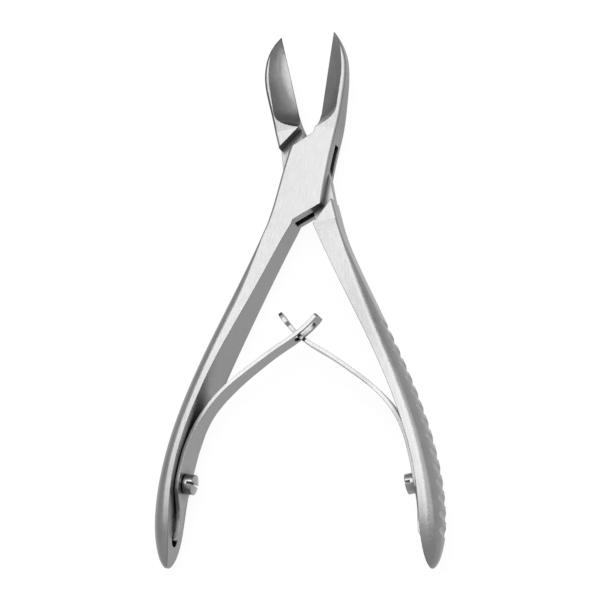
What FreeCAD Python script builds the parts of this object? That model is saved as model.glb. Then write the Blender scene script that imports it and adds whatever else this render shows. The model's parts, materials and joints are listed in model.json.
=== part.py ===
import FreeCAD, Part
import math
import os

# Bone cutting forceps, lying flat and sprung open. Sizes are in millimetres.
# Each lever is drawn closed, pivot at the origin, jaw to +X and up +Y, handle to -X.
# The box lever is turned open as it is; the tongue lever is its mirror image.

# Opening
HALF_OPEN = 10.4         # degrees each lever stands open from the middle line
EDGE_AIR = 0.03          # air between each cutting edge and the middle line when shut

# Box joint, front face at +Z
JOINT_T = 7.0            # depth of the joint and of the jaw roots
FRONT_CHEEK = 2.6
REAR_CHEEK = 1.75
SLIDE_AIR = 0.06         # running clearance on each face of the tongue
PIN_R = 1.7
PIN_AIR = 0.04           # running clearance around the pin in the tongue
TONGUE_R = 5.75          # round middle of the tongue
TOP = JOINT_T / 2
SLOT_Z = (-TOP + REAR_CHEEK, TOP - FRONT_CHEEK)

# Jaw
JAW_TIP = 38.1           # pivot to tip
JAW_BASE = 11.6          # pivot to the foot of the cutting edge
BOX_JAW_OUTER = ((0.5, 36.9), (1.9, 35.2), (3.5, 32.6), (4.75, 29.0), (5.5, 24.9), (5.95, 20.0),
                 (6.25, 14.5), (6.15, 9.5), (6.0, 3.5), (6.05, -2.5))
TONGUE_JAW_OUTER = ((2.05, 36.6), (3.55, 34.95), (4.9, 32.9), (5.9, 30.3), (6.45, 27.6),
                    (6.6, 24.6), (6.4, 21.2), (5.9, 16.0), (5.45, 9.7))
JAW_TURN = 3.4           # degrees that the line of the cutting edges leans to the left
JAW_TURN_Y = 24.0        # height of the point it leans about
JAW_TIP_T = 3.4          # depth of the jaw at its tip
BEVEL_LAND = 0.28        # half thickness left at the edge by the hollow bevels
BEVEL_SAG = 0.38         # hollow of the bevels
EDGE_FACET = 0.32        # width of the small facets that meet in the edge
# Bevel stations: height, width, half thickness left at the cutting edge
BEVEL = ((11.7, 0.15, 3.2), (12.6, 1.7, 2.2), (13.9, 3.3, 1.15), (15.6, 4.55, 0.5),
         (18.0, 4.9, BEVEL_LAND), (22.0, 4.75, BEVEL_LAND), (27.0, 4.5, BEVEL_LAND),
         (30.0, 3.95, BEVEL_LAND), (32.5, 3.3, BEVEL_LAND), (34.5, 2.6, BEVEL_LAND),
         (36.3, 1.9, BEVEL_LAND), (38.4, 1.4, BEVEL_LAND))
BOX_BEVEL_SHARE = 0.9    # of those widths on each lever's jaw
TONGUE_BEVEL_SHARE = 1.12

# Cheeks of the box lever, and the shoulders of the tongue lever
CHEEK_TOP = (0.6, 10.0)
CHEEK_LEFT = (-4.6, 5.6)
CHEEK_RIGHT = (6.3, -7.8)
CHEEK_FOOT = (0.0, -12.8)
SLOT_TOP = ((0.0, 10.4), (9.0, 7.2))
SLOT_FOOT = ((0.0, -13.2), (-9.0, -9.9))
SHOULDER_JAW = (5.3, 7.5)
SHOULDER_GRIP = (-6.0, -9.0)

# Handles
INNER_FACE_X = 15.7      # inner face at the spring screw
SCREW_Y = -82.0
BOX_GRIP_SHIFT = 0.9     # how much higher the box lever's grip, spring and screw sit
TONGUE_GRIP_SHIFT = -0.9

# Inner and outer end of the root, where the handle starts
ROOT = ((-0.35, -14.3), (-6.45, -14.3))
# Handle stations: inner x, inner y, outer x, outer y, depth, flat of the front face as
# a share of the width, flat of the outer face as a share of the depth
HANDLE = ((3.35, -24.6, 8.3, -23.4, 8.1, 0.8, 0.7),
          (7.05, -37.0, 11.6, -35.4, 9.8, 0.52, 0.5),
          (10.75, -49.5, 15.0, -47.9, 12.3, 0.38, 0.3),
          (13.55, -61.2, 17.95, -60.5, 13.6, 0.3, 0.2),
          (15.35, -72.5, 19.75, -72.3, 13.9, 0.28, 0.15),
          (INNER_FACE_X, SCREW_Y, 20.25, SCREW_Y, 13.2, 0.28, 0.15),
          (14.85, -91.0, 19.65, -91.3, 11.4, 0.28, 0.15),
          (14.2, -96.0, 18.6, -96.4, 9.3, 0.28, 0.15),
          (13.95, -99.6, 17.3, -100.0, 6.6, 0.25, 0.15),
          (14.05, -101.8, 16.1, -102.1, 3.9, 0.2, 0.15),
          (14.35, -102.9, 15.1, -103.0, 1.5, 0.2, 0.15))
ROUND = 0.6              # rounding of the outer edges of the jaws, cheeks and roots
OUTER_ROOT = ((5.85, -9.0), (5.45, -3.0), (5.05, 2.0))

ARC_PULL = 0.5523        # pull of a Bezier quarter on its ends that makes it an ellipse

# Grip grooves on the outer face
GROOVES = 15
GROOVE_FIRST = (-13.9, -42.4)
GROOVE_LAST = (-18.9, -95.2)
GROOVE_R = 1.5
GROOVE_DEEP = 0.62
GROOVE_TILT = 0.055      # slope that makes the grooves deeper towards the back

# Leaf springs
LEAF_T = 1.0
LEAF_AIR = 0.15
SEAT_X = INNER_FACE_X - LEAF_AIR - LEAF_T / 2
TAIL_HALF_W = 1.1
TAIL_HOLE_Y = -95.9
# Centre line from the tail in its hole to the free end, then half widths by height
LEAF_LINE = ((16.9, TAIL_HOLE_Y - 0.1), (15.1, TAIL_HOLE_Y), (13.8, -94.7), (13.65, -92.6),
             (14.2, -89.4), (SEAT_X - 0.2, SCREW_Y - 3.5), (SEAT_X, SCREW_Y),
             (SEAT_X + 0.03, SCREW_Y + 2.8), (14.65, -72.4), (12.5, -64.3), (9.9, -59.5),
             (6.5, -55.0), (2.7, -50.8), (-1.7, -46.3), (-5.7, -42.6), (-7.9, -40.2),
             (-9.4, -38.2), (-10.6, -36.2), (-12.1, -33.1))
LEAF_HALF_W = ((-98.0, TAIL_HALF_W), (-91.5, TAIL_HALF_W), (-88.7, 1.6), (-86.4, 2.7),
               (-84.5, 4.0), (-82.0, 4.4), (-75.0, 4.4), (-70.0, 3.8), (-64.0, 3.15),
               (-57.0, 3.05), (-53.0, 2.65), (-48.0, 2.4), (-30.0, 2.3))
LEAF_REACH = (-20, 5)    # X range of the free halves of the leaves
SLOTTED_END = -36.2
WINDOW = ((-42.8, -1.45), (-38.0, -1.45), (-38.0, 1.45), (-42.8, 1.45))
# What is cut off each side of the other leaf to leave its neck and the head behind it
NECK = ((-41.8, 3.0), (-41.0, 1.05), (-36.9, 1.05), (-36.3, 1.9), (-34.2, 1.9), (-33.2, 0.9),
        (-30.0, 0.9), (-30.0, 3.0))

# Spring screws and the holes in the handles
SCREW_R = 1.25
SCREW_LONG = 3.6
HEAD_R = 2.5
HEAD_H = 2.6
HEAD_DOME = 0.35
HEAD_SLOT = 0.6
HEAD_SLOT_DEEP = 1.6
SCREW_AIR = 0.2
TAIL_HOLE_R = 1.8
TAIL_HOLE_DEEP = 3.1
TAIL_HOLE_FROM_X = 12.6  # where its drill starts, in the open beside the handle


def at(x, y, z=0.0):
    return FreeCAD.Vector(x, y, z)


def spline(points):
    curve = Part.BSplineCurve()
    curve.interpolate([at(*p) for p in points])
    return curve


def outline(*parts):
    edges = []
    for part in parts:
        if isinstance(part, Part.BSplineCurve):
            edges.append(part.toShape())
        else:
            edges += [Part.LineSegment(at(*a), at(*b)).toShape() for a, b in zip(part, part[1:])]
    return Part.Face(Part.Wire(Part.__sortEdges__(edges)))


def slab(face, low, high):
    return face.translated(at(0, 0, low)).extrude(at(0, 0, high - low))


def polygon(points, low, high):
    return slab(Part.Face(Part.makePolygon([at(*p) for p in points + points[:1]])), low, high)


def along_x(points, low, high):
    """A prism along X whose outline is drawn in Y and Z."""
    ring = [FreeCAD.Vector(low, y, z) for y, z in points]
    return Part.Face(Part.makePolygon(ring + ring[:1])).extrude(at(high - low, 0))


def handle_section(ix, iy, ox, oy, depth, flat, crown):
    """One cross-section of the handle: flat inside, with elliptical corners outside."""
    inner, outer = at(-ix, iy), at(-ox, oy)
    wide = (outer - inner).Length
    across = (outer - inner).normalize()
    half = depth / 2

    def p(s, z):
        return inner + across * s + at(0, 0, z)

    def corner(side):
        pull_s = wide * (flat + (1 - flat) * ARC_PULL)
        pull_z = half * (crown + (1 - crown) * ARC_PULL)
        curve = Part.BezierCurve()
        curve.setPoles([p(wide * flat, side * half), p(pull_s, side * half),
                        p(wide, side * pull_z), p(wide, side * half * crown)])
        return curve

    edges = [Part.LineSegment(p(0, -half), p(0, half)),
             Part.LineSegment(p(0, half), p(wide * flat, half)),
             corner(1),
             Part.LineSegment(p(wide, half * crown), p(wide, -half * crown)),
             corner(-1),
             Part.LineSegment(p(wide * flat, -half), p(0, -half))]
    return Part.Wire(Part.__sortEdges__([e.toShape() for e in edges]))


def grooves():
    """Round bars that cut the grip grooves, evenly spaced along the outer face."""
    line = spline([ROOT[1]] + [(-s[2], s[3]) for s in HANDLE])
    first = line.parameter(at(*GROOVE_FIRST))
    last = line.parameter(at(*GROOVE_LAST))
    bars = []
    for k in range(GROOVES):
        u = first + (last - first) * k / (GROOVES - 1)
        run = line.tangent(u)[0]
        out = at(run.y, -run.x)
        out = out if out.x < 0 else out * -1
        along = out * GROOVE_TILT + at(0, 0, 1)
        middle = line.value(u) + out * (GROOVE_R - GROOVE_DEEP)
        bars.append(Part.makeCylinder(GROOVE_R, 2 * JOINT_T, middle - along * JOINT_T, along))
    return bars


def handle(root, shift):
    """The grip, grown from the end face of a root; the shift moves its stations along."""
    end = [f for f in root.Faces if f.BoundBox.YLength < 1e-6 and f.BoundBox.YMin < ROOT[0][1] + 0.1]
    stations = [(s[0], s[1] + shift, s[2], s[3] + shift) + s[4:] for s in HANDLE]
    body = Part.makeLoft([end[0].OuterWire] + [handle_section(*s) for s in stations], True, False)
    screw_hole = Part.makeCylinder(SCREW_R, SCREW_LONG + 1, at(-INNER_FACE_X + 1, SCREW_Y),
                                   at(-1, 0))
    tail_hole = Part.makeCylinder(TAIL_HOLE_R, TAIL_HOLE_DEEP + 2,
                                  at(-TAIL_HOLE_FROM_X, TAIL_HOLE_Y), at(-1, 0))
    return body.cut([c.translated(at(0, shift)) for c in [screw_hole, tail_hole] + grooves()])


def jaw_half(y):
    """Half the depth of the jaw: full at the root, thinning towards the tip."""
    t = min(max((y - JAW_BASE) / (JAW_TIP - JAW_BASE), 0.0), 1.0)
    return TOP - (TOP - JAW_TIP_T / 2) * math.sin(t * math.pi / 2)


def jaw_thinning():
    """What is cut off the front and back of the jaw to thin it."""
    steps = [JAW_BASE + (JAW_TIP - JAW_BASE) * k / 6 for k in range(7)]
    curve = Part.BSplineCurve()
    curve.interpolate([FreeCAD.Vector(-2, y, jaw_half(y)) for y in steps])
    low, high = curve.StartPoint, curve.EndPoint
    corners = [high, FreeCAD.Vector(-2, JAW_TIP + 1, high.z), FreeCAD.Vector(-2, JAW_TIP + 1, 6),
               FreeCAD.Vector(-2, JAW_BASE, 6), low]
    ring = [curve.toShape()] + [Part.LineSegment(p, q).toShape()
                                for p, q in zip(corners, corners[1:])]
    front = Part.Face(Part.Wire(ring)).extrude(at(12, 0))
    return [front, front.mirror(at(0, 0), at(0, 0, 1))]


def bevel_cutter(share):
    """The hollow bevel on the front of a jaw, running out at its foot."""
    rings = []
    for y, full, land in BEVEL:
        wide = full * share
        top = jaw_half(y)
        rise = (top - land) / wide if wide > 0.6 else top - land
        a = FreeCAD.Vector(-1.0, y, land - rise)
        b = FreeCAD.Vector(wide + 0.4, y, top + 0.4 * rise)
        chord = (b - a).normalize()
        middle = (a + b) * 0.5 + FreeCAD.Vector(chord.z, 0, -chord.x) * BEVEL_SAG * min(1.0, wide / 4)
        c = FreeCAD.Vector(wide + 0.4, y, 6)
        d = FreeCAD.Vector(-1.0, y, 6)
        rings.append(Part.Wire([Part.Arc(a, middle, b).toShape(),
                                Part.LineSegment(b, c).toShape(),
                                Part.LineSegment(c, d).toShape(),
                                Part.LineSegment(d, a).toShape()]))
    return Part.makeLoft(rings, True, False)


def edge_facets():
    """The two small facets that bring the cutting edge to a line."""
    deep = BEVEL_LAND + 0.25
    corner = [(0, 0), (EDGE_FACET * 2, deep * 2), (0, deep * 2)]
    ring = [FreeCAD.Vector(x, JAW_BASE + 4.2, z) for x, z in corner]
    facet = Part.Face(Part.makePolygon(ring + ring[:1])).extrude(at(0, 40))
    return [facet, facet.mirror(at(0, 0), at(0, 0, 1))]


def grind_bevels(body, share, lean):
    """Cuts the hollow bevels and the small facets on the front and back of a jaw."""
    bevel = bevel_cutter(share)
    cutters = [bevel, bevel.mirror(at(0, 0), at(0, 0, 1))]
    cutters += [f.translated(at(EDGE_AIR, 0)) for f in edge_facets()]
    return body.cut([c.rotated(at(0, JAW_TURN_Y), at(0, 0, 1), lean) for c in cutters])


def leaning(y, lean):
    """The point of the cutting edge that stands at a height before the edge leans."""
    point = Part.Vertex(at(EDGE_AIR, y)).rotated(at(0, JAW_TURN_Y), at(0, 0, 1), lean).Point
    return point.x, point.y


def follows(edge, curve):
    """Whether an edge runs along the front or the back of a wall drawn by the curve."""
    middle = edge.valueAt((edge.FirstParameter + edge.LastParameter) / 2)
    flat = at(middle.x, middle.y)
    foot = curve.value(curve.parameter(flat))
    return abs(middle.z) > 1 and foot.distanceToPoint(flat) < 0.01


def round_outer(body, curve):
    """Rounds the front and the back edge along one side of the outline."""
    return body.makeFillet(ROUND, [e for e in body.Edges if follows(e, curve)])


def box_lever():
    """The lever with the slot: right jaw, both cheeks, left handle."""
    inner, outer = ROOT
    tip, foot = leaning(JAW_TIP, JAW_TURN), leaning(JAW_BASE, JAW_TURN)
    right = spline((tip,) + BOX_JAW_OUTER + (CHEEK_RIGHT,))
    left = spline((outer,) + tuple((-x, y) for x, y in OUTER_ROOT) + (CHEEK_LEFT,))
    face = outline(right, (CHEEK_RIGHT, CHEEK_FOOT, inner, outer), left,
                   (CHEEK_LEFT, CHEEK_TOP, foot, tip))
    body = slab(face, -TOP, TOP).cut(jaw_thinning())
    body = grind_bevels(round_outer(round_outer(body, right), left), BOX_BEVEL_SHARE, JAW_TURN)
    slot = [(-9, SLOT_FOOT[1][1]), SLOT_FOOT[0], (9, SLOT_FOOT[0][1]), SLOT_TOP[1],
            SLOT_TOP[0], (-9, SLOT_TOP[0][1])]
    body = body.cut(polygon(slot, *SLOT_Z))
    body = body.cut(Part.makeCylinder(PIN_R, JOINT_T, at(0, 0, -TOP)))
    return body.fuse(handle(body, BOX_GRIP_SHIFT)).removeSplitter().Solids[0]


def tongue_lever():
    """The lever with the thinned middle, drawn like the box lever."""
    inner, outer = ROOT
    tip, foot = leaning(JAW_TIP, -JAW_TURN), leaning(JAW_BASE, -JAW_TURN)
    low, high = SLOT_Z[0] + SLIDE_AIR, SLOT_Z[1] - SLIDE_AIR
    right = spline((tip,) + TONGUE_JAW_OUTER + (SHOULDER_JAW,))
    jaw = slab(outline(right, (SHOULDER_JAW, foot, tip)), -TOP, TOP).cut(jaw_thinning())
    jaw = grind_bevels(round_outer(jaw, right), TONGUE_BEVEL_SHARE, -JAW_TURN)
    side = Part.LineSegment(at(*SHOULDER_GRIP), at(*outer))
    root = round_outer(polygon([SHOULDER_GRIP, inner, outer], -TOP, TOP), side)
    ends = [foot, SHOULDER_JAW, (TONGUE_R, 0), (0, 0), (EDGE_AIR, 4)]
    feet = [inner, SHOULDER_GRIP, (-TONGUE_R, 0), (0, 0), (inner[0], -4)]
    middle = Part.makeCylinder(TONGUE_R, high - low, at(0, 0, low))
    body = jaw.fuse([root, polygon(ends, low, high), polygon(feet, low, high), middle,
                     handle(root, TONGUE_GRIP_SHIFT)])
    bore = Part.makeCylinder(PIN_R + PIN_AIR, JOINT_T, at(0, 0, -TOP))
    return body.cut(bore).removeSplitter().Solids[0]


def leaf():
    """The bent strip, full width from end to end."""
    line = spline(LEAF_LINE)
    sides = []
    for hand in (1, -1):
        side = []
        for k in range(61):
            u = line.FirstParameter + (line.LastParameter - line.FirstParameter) * k / 60
            run = line.tangent(u)[0]
            p = line.value(u) + at(-run.y, run.x) * (hand * LEAF_T / 2)
            side.append((p.x, p.y))
        sides.append(side)
    face = outline(spline(sides[0]), (sides[0][-1], sides[1][-1]), spline(sides[1]),
                   (sides[1][0], sides[0][0]))
    strip = slab(face, -6, 6)
    rim = [(y, w) for y, w in LEAF_HALF_W] + [(y, -w) for y, w in reversed(LEAF_HALF_W)]
    strip = strip.common(along_x(rim, -20, 20))
    hole = Part.makeCylinder(SCREW_R + LEAF_AIR, 6, at(12, SCREW_Y), at(1, 0))
    return strip.cut(hole)


def slotted_leaf():
    """The leaf with the window, a little shorter than the other."""
    rest = [(SLOTTED_END, -3.0), (-30.0, -3.0), (-30.0, 3.0), (SLOTTED_END, 3.0)]
    return leaf().cut([along_x(ring, *LEAF_REACH) for ring in (list(WINDOW), rest)]).Solids[0]


def necked_leaf():
    """The leaf whose end narrows to a neck behind its head, which keeps the leaves together."""
    halves = [[(y, hand * w) for y, w in NECK] for hand in (1, -1)]
    return leaf().cut([along_x(half, *LEAF_REACH) for half in halves]).Solids[0]


def spring_screw():
    """Slotted screw, its axis along X, the head towards the middle."""
    face_x = INNER_FACE_X - LEAF_AIR - LEAF_T - SCREW_AIR
    foot, crest = at(face_x, SCREW_Y), at(face_x - HEAD_H, SCREW_Y)
    rim, shoulder = at(face_x, SCREW_Y + HEAD_R), at(face_x - HEAD_H + HEAD_DOME, SCREW_Y + HEAD_R)
    bulge = at(face_x - HEAD_H + HEAD_DOME / 4, SCREW_Y + HEAD_R / 2)
    ring = [Part.LineSegment(foot, rim).toShape(), Part.LineSegment(rim, shoulder).toShape(),
            Part.Arc(shoulder, bulge, crest).toShape(), Part.LineSegment(crest, foot).toShape()]
    head = Part.Face(Part.Wire(ring)).revolve(foot, at(1, 0), 360)
    slot = Part.makeBox(HEAD_SLOT_DEEP, HEAD_SLOT, 8,
                        at(face_x - HEAD_H, SCREW_Y - HEAD_SLOT / 2, -4))
    shank = Part.makeCylinder(SCREW_R, INNER_FACE_X + SCREW_LONG - 0.4 - face_x,
                              at(face_x, SCREW_Y), at(1, 0))
    return head.cut(slot).fuse(shank).removeSplitter().Solids[0]


def open_box_side(shape):
    return shape.rotated(at(0, 0), at(0, 0, 1), -HALF_OPEN)


def open_tongue_side(shape):
    return shape.rotated(at(0, 0), at(0, 0, 1), HALF_OPEN)


def mirrored(shape):
    return shape.mirror(at(0, 0), at(1, 0))


def build():
    screw = spring_screw()
    parts = {
        "box_lever": open_box_side(box_lever()),
        "tongue_lever": open_tongue_side(mirrored(tongue_lever())),
        "pivot_pin": Part.makeCylinder(PIN_R, JOINT_T, at(0, 0, -TOP)),
        "slotted_spring": open_box_side(mirrored(slotted_leaf().translated(at(0, BOX_GRIP_SHIFT)))),
        "pronged_spring": open_tongue_side(necked_leaf().translated(at(0, TONGUE_GRIP_SHIFT))),
        "box_side_screw": open_box_side(mirrored(screw.translated(at(0, BOX_GRIP_SHIFT)))),
        "tongue_side_screw": open_tongue_side(screw.translated(at(0, TONGUE_GRIP_SHIFT))),
    }
    whole = Part.makeCompound(list(parts.values())).optimalBoundingBox()
    home = at(-whole.Center.x, -whole.Center.y, -whole.ZMin)
    return {name: shape.translated(home) for name, shape in parts.items()}


os.makedirs("parts", exist_ok=True)
for name, shape in build().items():
    shape.exportStep("parts/" + name + ".step")
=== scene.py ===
"""Bone cutting forceps, lying flat and sprung open: finishes, leaf springs and studio."""

import json
import math

import bpy
import numpy as np
from mathutils import Matrix, Vector


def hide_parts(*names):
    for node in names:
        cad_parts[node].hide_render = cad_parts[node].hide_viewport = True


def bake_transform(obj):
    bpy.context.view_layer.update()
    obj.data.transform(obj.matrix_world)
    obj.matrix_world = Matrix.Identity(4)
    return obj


bl_info = {
    "name": "Bone Cutting Forceps",
    "version": (1, 0, 0),
    "blender": (4, 5, 0),
    "location": "3D View > Sidebar > Forceps",
    "description": "Steel finishes, leaf springs and studio for a pair of bone cutting forceps",
    "category": "Object",
}

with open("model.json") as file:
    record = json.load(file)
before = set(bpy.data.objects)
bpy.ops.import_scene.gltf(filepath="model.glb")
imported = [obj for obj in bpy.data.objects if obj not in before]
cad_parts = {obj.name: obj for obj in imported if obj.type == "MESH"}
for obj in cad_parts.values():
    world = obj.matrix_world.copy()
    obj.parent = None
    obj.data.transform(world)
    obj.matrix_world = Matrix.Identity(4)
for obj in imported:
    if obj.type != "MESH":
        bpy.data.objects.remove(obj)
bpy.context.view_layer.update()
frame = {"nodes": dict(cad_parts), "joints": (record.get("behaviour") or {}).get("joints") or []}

MM = 0.001
PIVOT_JOINT = next(j for j in frame["joints"] if j["name"] == "jaw_pivot")
PIVOT = Vector(PIVOT_JOINT["pos_m"])
HALF_OPEN = math.radians(PIVOT_JOINT["range_deg"][1] / 2)

# Centre line of a leaf spring from its tail to its curl, in millimetres from the pivot,
# drawn for the right-hand lever with the forceps shut
LEAF_LINE = np.array((
    (16.9, -96.0), (15.1, -95.9), (13.8, -94.7), (13.65, -92.6), (14.2, -89.4),
    (14.85, -85.5), (15.05, -82.0), (15.08, -79.2), (14.65, -72.4), (12.5, -64.3),
    (9.9, -59.5), (6.5, -55.0), (2.7, -50.8), (-1.7, -46.3), (-5.7, -42.6), (-7.9, -40.2),
    (-9.4, -38.2), (-10.6, -36.2), (-12.1, -33.1)))
# Half width of the leaf at heights along the lever
LEAF_WIDTH = np.array((
    (-98.0, 1.1), (-91.5, 1.1), (-88.7, 1.6), (-86.4, 2.7), (-84.5, 4.0), (-82.0, 4.4),
    (-75.0, 4.4), (-70.0, 3.8), (-64.0, 3.15), (-57.0, 3.05), (-53.0, 2.65), (-48.0, 2.4),
    (-30.0, 2.3)))
LEAF_STEPS = 420         # points along the centre line
LEAF_COLUMNS = 7         # points from the border of the window to the edge of the leaf
WIDTH_SMOOTHING = 15     # points over which the width is smoothed
MIDDLE_HALF_W = 0.35     # half width of the middle column where the leaf has no hole
SCREW_Y = -82.0          # height of the screw's hole
SCREW_HOLE_R = 1.4
GRIP_SHIFT = 0.9         # how much higher the left-hand grip and spring sit, and lower the right
SLOTTED_END = -36.2      # height at which the leaf with the window ends
END_CORNER = 0.9         # length over which the corners at the end of that leaf are rounded
WINDOW = (-42.8, -38.0)  # heights of the window's lower and upper end
WINDOW_HALF_W = 1.45
WINDOW_POWERS = (6, 3)   # powers of the window's outline, along it and across it
# Half width of the other leaf's neck and head
NECK_WIDTH = np.array(((-41.8, 2.3), (-41.0, 1.05), (-36.9, 1.05), (-36.1, 1.75), (-35.0, 1.95),
                       (-34.0, 1.75), (-33.1, 0.9)))
# Shut, each leaf still goes into its own handle, 0.65 mm deep at most.
BEVEL_FROM_ANGLE = math.radians(50)

# Steel. Lengths are in metres, and noise scales are in waves per metre.
GRAIN_SCALE = (4200.0, 260.0, 4200.0)
MOTTLE_SCALE = 260.0
SPECKLE_SCALE = 2600.0
NOISE_SPAN = (0.3, 0.7)  # the part of a noise's range that is used
DARK_SHARE = 0.86        # darkest and lightest mottling, and the dark line painted along edges as shade, against the colour
LIGHT_SHARE = 1.1
EDGE_SHADE_SHARE = 0.42
GRAIN_ROUGHNESS = 0.05   # how far grain and mottling move the roughness up and down
MOTTLE_ROUGHNESS = 0.04
EDGE_TURN = (0.998, 0.94)   # cosine of the rounded normal's turn where the painted dark edge line starts, is full
SLOPE_TURN = (0.985, 0.94)  # the same for a face's slope, where the shade painted on the jaws starts, is full
JAW_FOOT = 0.0125        # height of the foot of the jaws' bevels above the pivot
# Painted shade on the sloping bevel and flank of each lever's jaw: share of the colour they keep,
# set per lever
JAW_PAINTED_SHADE = {"box_lever": 0.78, "tongue_lever": 0.38}
RECESS_SHADE_REACH = 0.0025    # how far a recess is looked into for the shade painted in it
RECESS_SHADE_SPAN = (0.1, 0.98)
RECESS_SHADE_DARKEST = 0.08
PIN_CLEAR = 0.0024       # distance from the pivot's axis within which no edge shows
LEVER_GRAIN = 0.00002    # depth of the grain
SCREW_GRAIN = 0.00001
SPRING_GRAIN = 0.000006
SCREW_BRIGHTER = 1.25    # colour of screws and springs against the levers' steel
SPRING_BRIGHTER = 1.08
PIN_EDGE_SHARE = 0.2     # edge rounding of the pin and the springs against the levers'
SPRING_EDGE_SHARE = 0.8

# Stage, in metres
FLOOR_DROP = 0.0001      # how far the floor lies under the part
FLOOR_COLOUR = (0.85, 0.85, 0.85, 1.0)
FLOOR_GLOW = 1.04
LIGHT_AIM = (0.0, 0.0, 0.0)
KEY_PLACE, KEY_SIZE = (0.02, 0.3, 1.0), (1.05, 0.95)
FILL_PLACE, FILL_SIZE = (0.83, 0.31, 0.66), (0.9, 0.9)

# The photograph's camera, measured from the outlines: its angles, its distance and the pivot's
# place from the middle of the picture in picture points, and millimetres to the point
VIEW_AZIMUTH = math.radians(17.75)
VIEW_TILT = math.radians(-16.06)
VIEW_ROLL = math.radians(1.55)
VIEW_DISTANCE = 2439.7
VIEW_SHIFT = (7.019, 125.4)
VIEW_SCALE = 0.2483
HALF_FRAME = 300.0       # half the picture's width in points


class ForcepsFinish(bpy.types.PropertyGroup):
    """Colours and textures of the steel."""

    steel_colour: bpy.props.FloatVectorProperty(
        name="Steel colour", description="Reflected colour of the satin steel",
        subtype="COLOR", size=3, min=0.0, max=1.0, default=(0.25, 0.25, 0.252))
    lever_roughness: bpy.props.FloatProperty(
        name="Lever roughness", description="Mean roughness of the satin levers",
        min=0.05, max=1.0, default=0.31)
    spring_roughness: bpy.props.FloatProperty(
        name="Spring roughness", description="Mean roughness of the leaf springs",
        min=0.05, max=1.0, default=0.3)
    screw_roughness: bpy.props.FloatProperty(
        name="Screw roughness", description="Mean roughness of the polished screws",
        min=0.05, max=1.0, default=0.22)
    # The edge radius also sets how wide a dark line is painted along the edges as shade.
    edge_round: bpy.props.FloatProperty(
        name="Edge rounding", description="Radius of the polished edges that draw a dark line",
        subtype="DISTANCE", unit="LENGTH", min=0.0, max=0.001, default=0.00022)


class ForcepsLeaf(bpy.types.PropertyGroup):
    """Sizes of the leaf springs."""

    thickness: bpy.props.FloatProperty(
        name="Leaf thickness", description="Thickness of each leaf spring",
        subtype="DISTANCE", unit="LENGTH", min=0.0005, max=0.002, default=0.001)
    edge_bevel: bpy.props.FloatProperty(
        name="Leaf edge bevel", description="Width of the bevel along the edges of a leaf",
        subtype="DISTANCE", unit="LENGTH", min=0.0, max=0.0004, default=0.00014)


class ForcepsStudio(bpy.types.PropertyGroup):
    """Floor, light and camera."""

    floor_size: bpy.props.FloatProperty(
        name="Floor size", description="Length of each side of the pale floor",
        subtype="DISTANCE", unit="LENGTH", min=0.5, max=20.0, default=6.0)
    floor_shade: bpy.props.FloatProperty(
        name="Floor shading", description="Share of real shading that shows on the white floor",
        subtype="FACTOR", min=0.0, max=1.0, default=0.1)
    key_power: bpy.props.FloatProperty(
        name="Key light", description="Power of the large soft light above",
        subtype="POWER", unit="POWER", min=0.0, max=200.0, default=10.0)
    fill_power: bpy.props.FloatProperty(
        name="Fill light", description="Power of the weaker soft light on the right",
        subtype="POWER", unit="POWER", min=0.0, max=200.0, default=2.8)
    world_strength: bpy.props.FloatProperty(
        name="Surroundings", description="Brightness of the pale surroundings",
        min=0.0, max=2.0, default=0.3)


def to_world(points, side):
    """Points in millimetres on a lever's drawing, turned open and moved to the pivot.

    side is 1 for the right-hand lever as drawn and -1 for its mirror image.
    """
    points = np.asarray(points, float)
    x, y, z = points[..., 0], points[..., 1], points[..., 2]
    cos, sin = math.cos(HALF_OPEN), math.sin(HALF_OPEN)
    turned = np.stack((side * (x * cos - y * sin), x * sin + y * cos, z), -1)
    return turned * MM + np.array(PIVOT)


def curve_through(knots, count):
    """Evenly spaced points on a natural cubic spline through the knots.

    The second derivatives m solve h[i-1] m[i-1] + 2 (h[i-1] + h[i]) m[i] + h[i] m[i+1] =
    6 (slope[i] - slope[i-1]), with m zero at both ends, over the chord lengths h.
    """
    h = np.linalg.norm(np.diff(knots, axis=0), axis=1)
    s = np.concatenate(((0.0,), np.cumsum(h)))
    slope = np.diff(knots, axis=0) / h[:, None]
    n = len(knots)
    system = np.eye(n)
    rows = np.arange(1, n - 1)
    system[rows, rows - 1] = h[:-1]
    system[rows, rows] = 2 * (h[:-1] + h[1:])
    system[rows, rows + 1] = h[1:]
    right = np.zeros_like(knots)
    right[1:-1] = 6 * (slope[1:] - slope[:-1])
    m = np.linalg.solve(system, right)
    t = np.linspace(0.0, s[-1], count)
    i = np.clip(np.searchsorted(s, t, side="right") - 1, 0, n - 2)
    a, b, hi = (s[i + 1] - t)[:, None], (t - s[i])[:, None], h[i][:, None]
    points = ((m[i] * a**3 + m[i + 1] * b**3) / (6 * hi)
              + (knots[i] / hi - m[i] * hi / 6) * a + (knots[i + 1] / hi - m[i + 1] * hi / 6) * b)
    return points


def new_mesh_object(name, points, faces):
    """A smooth-shaded object in the scene."""
    mesh = bpy.data.meshes.new(name)
    mesh.from_pydata(points.reshape(-1, 3).tolist(), [], faces.tolist())
    mesh.validate()
    mesh.update()
    mesh.polygons.foreach_set("use_smooth", [True] * len(mesh.polygons))
    obj = bpy.data.objects.new(name, mesh)
    bpy.context.scene.collection.objects.link(obj)
    return obj


def grid_faces(rows, columns, keep):
    """Quads between neighbouring points of a grid, where the cell is kept."""
    index = np.arange(rows * columns).reshape(rows, columns)
    quads = np.stack((index[:-1, :-1], index[1:, :-1], index[1:, 1:], index[:-1, 1:]), -1)
    return quads[keep]


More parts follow.
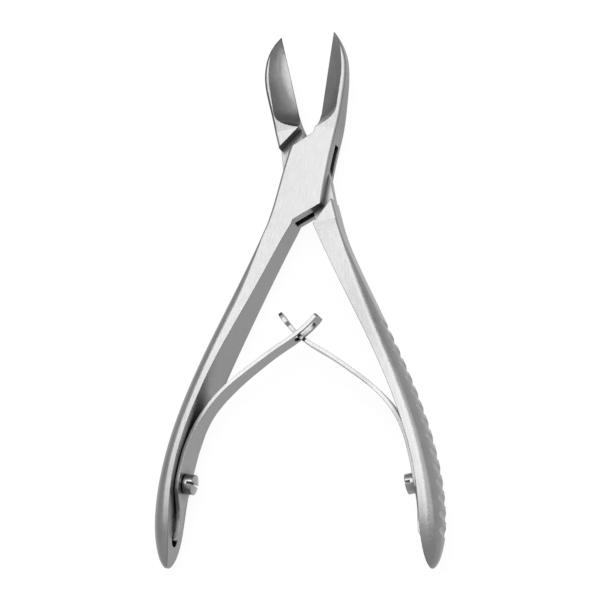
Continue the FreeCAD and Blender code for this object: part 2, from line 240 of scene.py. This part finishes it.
def leaf_sheet(name, side, necked):
    """The middle surface of a leaf: the centre line swept across the instrument.

    A point is C(u) + v W(u) Z, with C the spline, W the half width at that height, Z the
    pivot's direction and v from -1 to 1. The columns next to the middle follow the borders
    of the screw's hole, a circle, and of the window, a rounded rectangle. The cells inside
    both are left out.
    """
    line = curve_through(LEAF_LINE, LEAF_STEPS)
    if not necked:
        line = line[line[:, 1] < SLOTTED_END]
    y = line[:, 1]
    width = np.interp(y, LEAF_WIDTH[:, 0], LEAF_WIDTH[:, 1])
    kernel = np.hanning(WIDTH_SMOOTHING)
    padded = np.pad(width, WIDTH_SMOOTHING // 2, mode="edge")
    width = np.convolve(padded, kernel / kernel.sum(), mode="valid")
    free = line[:, 0] < 0.0
    middle, reach = sum(WINDOW) / 2, (WINDOW[1] - WINDOW[0]) / 2
    if necked:
        narrowed = np.interp(y, NECK_WIDTH[:, 0], NECK_WIDTH[:, 1])
        width = np.where(free & (y > NECK_WIDTH[0, 0]), np.minimum(width, narrowed), width)
        inner_half = np.full_like(y, MIDDLE_HALF_W)
    else:
        corner = np.clip((y - (SLOTTED_END - END_CORNER)) / END_CORNER, 0.0, 1.0)
        width = width - END_CORNER * (1 - np.sqrt(1 - corner**2))
        along = np.abs((y - middle) / reach) ** WINDOW_POWERS[0]
        across = np.clip(1 - along, 0.0, 1.0) ** (1 / WINDOW_POWERS[1])
        inner_half = np.where(free, np.maximum(WINDOW_HALF_W * across, MIDDLE_HALF_W),
                              MIDDLE_HALF_W)
    hole = SCREW_HOLE_R**2 - (y - SCREW_Y)**2
    inner_half = np.maximum(inner_half, np.sqrt(np.maximum(hole, 0.0)))
    outwards = np.linspace(0.0, 1.0, LEAF_COLUMNS)
    spread = inner_half[:, None] + (width - inner_half)[:, None] * outwards
    z = np.concatenate((-spread[:, ::-1], spread), axis=1)
    rows, columns = z.shape
    shift = -side * GRIP_SHIFT
    points = np.stack((np.repeat(line[:, :1], columns, 1),
                       np.repeat(line[:, 1:] + shift, columns, 1), z), -1)
    keep = np.ones((rows - 1, columns - 1), bool)
    cell_y = (y[1:] + y[:-1]) / 2
    left_out = np.abs(cell_y - SCREW_Y) < SCREW_HOLE_R
    if not necked:
        left_out |= free[1:] & (np.abs(cell_y - middle) < reach)
    keep[left_out, columns // 2 - 1] = False
    return new_mesh_object(name, to_world(points, side), grid_faces(rows, columns, keep))


def finish_leaf(obj, settings):
    """Gives a leaf its thickness and bevelled edges."""
    wall = obj.modifiers.new("Thickness", "SOLIDIFY")
    wall.thickness = settings.thickness
    wall.offset = 0.0
    bevel = obj.modifiers.new("Edge bevel", "BEVEL")
    bevel.width = settings.edge_bevel
    bevel.segments = 2
    bevel.limit_method = "ANGLE"
    bevel.angle_limit = BEVEL_FROM_ANGLE
    bevel.harden_normals = True


def node(tree, kind, **values):
    """Adds a shader node; a value that is a socket is linked, and any other is set."""
    made = tree.nodes.new(kind)
    for key, value in values.items():
        if hasattr(made, key):
            setattr(made, key, value)
            continue
        socket = made.inputs[int(key[1:])] if key[0] == "i" and key[1:].isdigit() else (
            made.inputs[key.replace("_", " ")])
        if isinstance(value, bpy.types.NodeSocket):
            tree.links.new(value, socket)
        else:
            socket.default_value = value
    return made


def ramp(tree, value, low, high, first, last):
    """Maps a value from low..high to first..last."""
    made = node(tree, "ShaderNodeMapRange", Value=value, From_Min=low, From_Max=high,
                To_Min=first, To_Max=last)
    return made.outputs["Result"]


def calculated(tree, operation, first, second):
    return node(tree, "ShaderNodeMath", operation=operation, i0=first, i1=second).outputs[0]


def mixed(tree, share, first, second, blend="MIX"):
    """Two colours, mixed or multiplied by a share."""
    return node(tree, "ShaderNodeMix", data_type="RGBA", blend_type=blend, i0=share, i6=first,
                i7=second).outputs[2]


def noise(tree, place, scale, detail, roughness):
    return node(tree, "ShaderNodeTexNoise", Vector=place, Scale=scale, Detail=detail,
                Roughness=roughness).outputs["Fac"]


def scaled(colour, share):
    """A colour times a share, at most white, with its alpha."""
    return [min(1.0, c * share) for c in colour] + [1.0]


def rounded_normal(tree, coords, flat, edge_round):
    """The normal with rounded edges, except round the pivot, where the pin is ground flush."""
    rounded = node(tree, "ShaderNodeBevel", samples=6, Radius=edge_round).outputs[0]
    on_plan = node(tree, "ShaderNodeVectorMath", operation="MULTIPLY", i0=coords,
                   i1=(1.0, 1.0, 0.0)).outputs[0]
    from_pin = node(tree, "ShaderNodeVectorMath", operation="DISTANCE", i0=on_plan,
                    i1=(PIVOT.x, PIVOT.y, 0.0)).outputs["Value"]
    beyond_pin = calculated(tree, "GREATER_THAN", from_pin, PIN_CLEAR)
    return node(tree, "ShaderNodeMix", data_type="VECTOR", i0=beyond_pin, i4=flat,
                i5=rounded).outputs[1]


def jaw_mask(tree, coords, flat):
    """1 on the sloping faces of the jaws and 0 elsewhere."""
    height = node(tree, "ShaderNodeSeparateXYZ", i0=coords).outputs["Y"]
    on_jaw = ramp(tree, height, PIVOT.y + JAW_FOOT / 2, PIVOT.y + JAW_FOOT, 0.0, 1.0)
    facing = node(tree, "ShaderNodeSeparateXYZ", i0=flat).outputs["Z"]
    facing = node(tree, "ShaderNodeMath", operation="ABSOLUTE", i0=facing).outputs[0]
    return calculated(tree, "MULTIPLY", on_jaw, ramp(tree, facing, *SLOPE_TURN, 0.0, 1.0))


def steel(name, colour, roughness, turn, edge_round, grain_depth, jaw_shade=1.0):
    """Satin steel: fine grain along the piece, soft mottling, small pits, and painted shade: a
    thin dark line along the edges, darker recesses and darker jaw bevels and flanks."""
    material = bpy.data.materials.new(name)
    material.use_nodes = True
    tree = material.node_tree
    tree.nodes.clear()
    coords = node(tree, "ShaderNodeTexCoord").outputs["Object"]
    turned = node(tree, "ShaderNodeMapping", vector_type="POINT", Vector=coords,
                  Rotation=(0.0, 0.0, turn)).outputs[0]
    stretched = node(tree, "ShaderNodeMapping", vector_type="POINT", Vector=turned,
                     Scale=GRAIN_SCALE).outputs[0]
    grain = noise(tree, stretched, 1.0, 3.0, 0.6)
    mottle = noise(tree, turned, MOTTLE_SCALE, 4.0, 0.55)
    speckle = noise(tree, turned, SPECKLE_SCALE, 3.0, 0.5)
    flat = node(tree, "ShaderNodeNewGeometry").outputs["Normal"]
    round_edge = rounded_normal(tree, coords, flat, edge_round)
    same = node(tree, "ShaderNodeVectorMath", operation="DOT_PRODUCT", i0=round_edge, i1=flat)
    # Painted shade: a thin dark line along the edges, where the rounded normal turns away from the
    # flat one.
    painted_edge_shade = ramp(tree, same.outputs["Value"], *EDGE_TURN, 0.0, 1.0)
    tone = calculated(tree, "ADD", ramp(tree, mottle, *NOISE_SPAN, 0.0, 0.5),
                      ramp(tree, speckle, *NOISE_SPAN, 0.1, 0.4))
    toned = mixed(tree, tone, scaled(colour, DARK_SHARE), scaled(colour, LIGHT_SHARE))
    toned = mixed(tree, painted_edge_shade, toned, scaled(colour, EDGE_SHADE_SHARE))
    # Painted shade: the jaws' sloping faces are darkened in the colour, by a share set per lever.
    toned = mixed(tree, jaw_mask(tree, coords, flat), toned, (jaw_shade, jaw_shade, jaw_shade, 1.0),
                  "MULTIPLY")
    # Painted shade: the colour is darkened in recesses and between parts by ambient occlusion.
    open_share = node(tree, "ShaderNodeAmbientOcclusion", samples=8,
                      Distance=RECESS_SHADE_REACH).outputs["AO"]
    painted_recess_shade = ramp(tree, open_share, *RECESS_SHADE_SPAN, RECESS_SHADE_DARKEST, 1.0)
    toned = mixed(tree, 1.0, toned, painted_recess_shade, "MULTIPLY")
    rough = calculated(tree, "ADD",
                       ramp(tree, grain, *NOISE_SPAN, roughness - GRAIN_ROUGHNESS,
                            roughness + GRAIN_ROUGHNESS),
                       ramp(tree, mottle, *NOISE_SPAN, -MOTTLE_ROUGHNESS, MOTTLE_ROUGHNESS))
    bump = node(tree, "ShaderNodeBump", Height=grain, Normal=round_edge, Strength=0.2,
                Distance=grain_depth).outputs[0]
    bump = node(tree, "ShaderNodeBump", Height=speckle, Normal=bump, Strength=0.3,
                Distance=grain_depth * 0.6).outputs[0]
    shader = node(tree, "ShaderNodeBsdfPrincipled", Base_Color=toned, Roughness=rough, Normal=bump,
                  Metallic=1.0)
    node(tree, "ShaderNodeOutputMaterial", Surface=shader.outputs[0])
    return material


def give(obj, material):
    """Puts one material in all of an object's slots."""
    obj.data.materials.clear()
    obj.data.materials.append(material)


def finish_of(context):
    return context.scene.forceps_finish


class FORCEPS_OT_levers(bpy.types.Operator):
    """Gives the two levers their satin steel, with the grain along each lever"""

    bl_idname = "forceps.levers"
    bl_label = "Finish levers"

    def execute(self, context):
        s = finish_of(context)
        for name, turn in (("box_lever", HALF_OPEN), ("tongue_lever", -HALF_OPEN)):
            give(frame["nodes"][name], steel(name + "_satin", s.steel_colour, s.lever_roughness,
                                             turn, s.edge_round, LEVER_GRAIN, JAW_PAINTED_SHADE[name]))
        return {"FINISHED"}


class FORCEPS_OT_pin(bpy.types.Operator):
    """Gives the flush pivot pin the finish of the cheeks that it is ground with"""

    bl_idname = "forceps.pin"
    bl_label = "Finish pivot pin"

    def execute(self, context):
        s = finish_of(context)
        give(frame["nodes"]["pivot_pin"], steel("pin_satin", s.steel_colour, s.lever_roughness,
                                                HALF_OPEN, s.edge_round * PIN_EDGE_SHARE,
                                                LEVER_GRAIN))
        return {"FINISHED"}


class FORCEPS_OT_screws(bpy.types.Operator):
    """Gives the spring screws their brighter polish"""

    bl_idname = "forceps.screws"
    bl_label = "Finish spring screws"

    def execute(self, context):
        s = finish_of(context)
        bright = [c * SCREW_BRIGHTER for c in s.steel_colour]
        material = steel("screw_polish", bright, s.screw_roughness, 0.0, s.edge_round,
                         SCREW_GRAIN)
        for name in ("box_side_screw", "tongue_side_screw"):
            give(frame["nodes"][name], material)
        return {"FINISHED"}


class FORCEPS_OT_springs(bpy.types.Operator):
    """Makes the two crossed leaf springs"""

    bl_idname = "forceps.springs"
    bl_label = "Make leaf springs"

    def execute(self, context):
        s = finish_of(context)
        bright = [c * SPRING_BRIGHTER for c in s.steel_colour]
        material = steel("spring_satin", bright, s.spring_roughness, 0.0,
                         s.edge_round * SPRING_EDGE_SHARE, SPRING_GRAIN)
        for name, node_name, side, prong, lever, leaf in (
                ("slotted_leaf", "slotted_spring", -1, False, "box_side", "box_side_leaf"),
                ("pronged_leaf", "pronged_spring", 1, True, "tongue_side", "tongue_side_leaf")):
            obj = leaf_sheet(name, side, prong)
            finish_leaf(obj, context.scene.forceps_leaf)
            give(obj, material)
            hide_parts(node_name)
            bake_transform(obj)
        return {"FINISHED"}


def area_light(name, place, size, power):
    lamp = bpy.data.lights.new(name, "AREA")
    lamp.shape = "RECTANGLE"
    lamp.size, lamp.size_y = size
    lamp.energy = power
    obj = bpy.data.objects.new(name, lamp)
    bpy.context.scene.collection.objects.link(obj)
    obj.location = place
    obj.rotation_euler = (Vector(LIGHT_AIM) - Vector(place)).to_track_quat("-Z", "Y").to_euler()


def seen_directly(tree):
    """1 for what the camera sees, also in gloss and through glass, and 0 for other light."""
    path = node(tree, "ShaderNodeLightPath")
    first = calculated(tree, "MAXIMUM", path.outputs["Is Camera Ray"],
                       path.outputs["Is Glossy Ray"])
    return calculated(tree, "MAXIMUM", first, path.outputs["Is Transmission Ray"])


def white_floor(settings):
    """A pale floor that looks white where light reaches it and keeps a faint shadow."""
    half = settings.floor_size / 2
    corners = np.array(((-half, -half, 0), (half, -half, 0), (half, half, 0), (-half, half, 0)))
    corners = corners - np.array((0, 0, FLOOR_DROP))
    floor = new_mesh_object("floor", corners, np.array(((0, 1, 2, 3),)))
    material = bpy.data.materials.new("white_floor")
    material.use_nodes = True
    tree = material.node_tree
    tree.nodes.clear()
    pale = node(tree, "ShaderNodeBsdfDiffuse", Color=FLOOR_COLOUR).outputs[0]
    white = node(tree, "ShaderNodeEmission", Strength=FLOOR_GLOW).outputs[0]
    share = calculated(tree, "MULTIPLY", seen_directly(tree), 1.0 - settings.floor_shade)
    both = node(tree, "ShaderNodeMixShader", i0=share, i1=pale, i2=white).outputs[0]
    node(tree, "ShaderNodeOutputMaterial", Surface=both)
    give(floor, material)


def pale_world(settings):
    world = bpy.data.worlds.new("studio")
    bpy.context.scene.world = world
    world.use_nodes = True
    tree = world.node_tree
    tree.nodes.clear()
    strength = node(tree, "ShaderNodeMix", data_type="FLOAT", i0=seen_directly(tree),
                    i2=settings.world_strength, i3=1.0).outputs[0]
    back = node(tree, "ShaderNodeBackground", Strength=strength)
    node(tree, "ShaderNodeOutputWorld", Surface=back.outputs[0])


def photo_camera():
    """A camera at the photograph's angle, found from the two mirrored levers' outlines."""
    cos_tilt = math.cos(VIEW_TILT)
    back = Vector((math.sin(VIEW_AZIMUTH) * cos_tilt, math.sin(VIEW_TILT),
                   math.cos(VIEW_AZIMUTH) * cos_tilt))
    up = (Vector((0, 1, 0)) - back * back.y).normalized()
    right = up.cross(back)
    rolled_right = right * math.cos(VIEW_ROLL) + up * math.sin(VIEW_ROLL)
    rolled_up = up * math.cos(VIEW_ROLL) - right * math.sin(VIEW_ROLL)
    place = (PIVOT + (rolled_right * -VIEW_SHIFT[0] + rolled_up * -VIEW_SHIFT[1]
                      + back * VIEW_DISTANCE) * VIEW_SCALE * MM)
    data = bpy.data.cameras.new("camera")
    data.sensor_fit = "HORIZONTAL"
    data.angle = 2 * math.atan(HALF_FRAME / VIEW_DISTANCE)
    data.clip_start, data.clip_end = 0.01, 50.0
    obj = bpy.data.objects.new("camera", data)
    bpy.context.scene.collection.objects.link(obj)
    turn = Matrix((rolled_right, rolled_up, back)).transposed()
    obj.matrix_world = Matrix.Translation(place) @ turn.to_4x4()
    bpy.context.scene.camera = obj


class FORCEPS_OT_stage(bpy.types.Operator):
    """Makes the pale floor, the soft lights, the surroundings and the camera"""

    bl_idname = "forceps.stage"
    bl_label = "Make stage"

    def execute(self, context):
        settings = context.scene.forceps_studio
        white_floor(settings)
        pale_world(settings)
        area_light("key", KEY_PLACE, KEY_SIZE, settings.key_power)
        area_light("fill", FILL_PLACE, FILL_SIZE, settings.fill_power)
        photo_camera()
        context.scene.view_settings.view_transform = "Standard"
        return {"FINISHED"}


class FORCEPS_PT_panel(bpy.types.Panel):
    """Lists the pieces and their settings"""

    bl_label = "Bone cutting forceps"
    bl_space_type = "VIEW_3D"
    bl_region_type = "UI"
    bl_category = "Forceps"

    def draw(self, context):
        column = self.layout.column()
        for group in (context.scene.forceps_finish, context.scene.forceps_leaf,
                      context.scene.forceps_studio):
            for key in type(group).__annotations__:
                column.prop(group, key)
        for operator in OPERATORS:
            column.operator(operator.bl_idname)


GROUPS = (ForcepsFinish, ForcepsLeaf, ForcepsStudio)
OPERATORS = (FORCEPS_OT_levers, FORCEPS_OT_pin, FORCEPS_OT_screws, FORCEPS_OT_springs,
             FORCEPS_OT_stage)


def register():
    for cls in GROUPS + OPERATORS + (FORCEPS_PT_panel,):
        bpy.utils.register_class(cls)
    bpy.types.Scene.forceps_finish = bpy.props.PointerProperty(type=ForcepsFinish)
    bpy.types.Scene.forceps_leaf = bpy.props.PointerProperty(type=ForcepsLeaf)
    bpy.types.Scene.forceps_studio = bpy.props.PointerProperty(type=ForcepsStudio)


def unregister():
    del bpy.types.Scene.forceps_studio
    del bpy.types.Scene.forceps_leaf
    del bpy.types.Scene.forceps_finish
    for cls in reversed(GROUPS + OPERATORS + (FORCEPS_PT_panel,)):
        bpy.utils.unregister_class(cls)


def main():
    register()
    bpy.ops.forceps.levers()
    bpy.ops.forceps.pin()
    bpy.ops.forceps.screws()
    bpy.ops.forceps.springs()
    bpy.ops.forceps.stage()


if __name__ == "__main__":
    main()
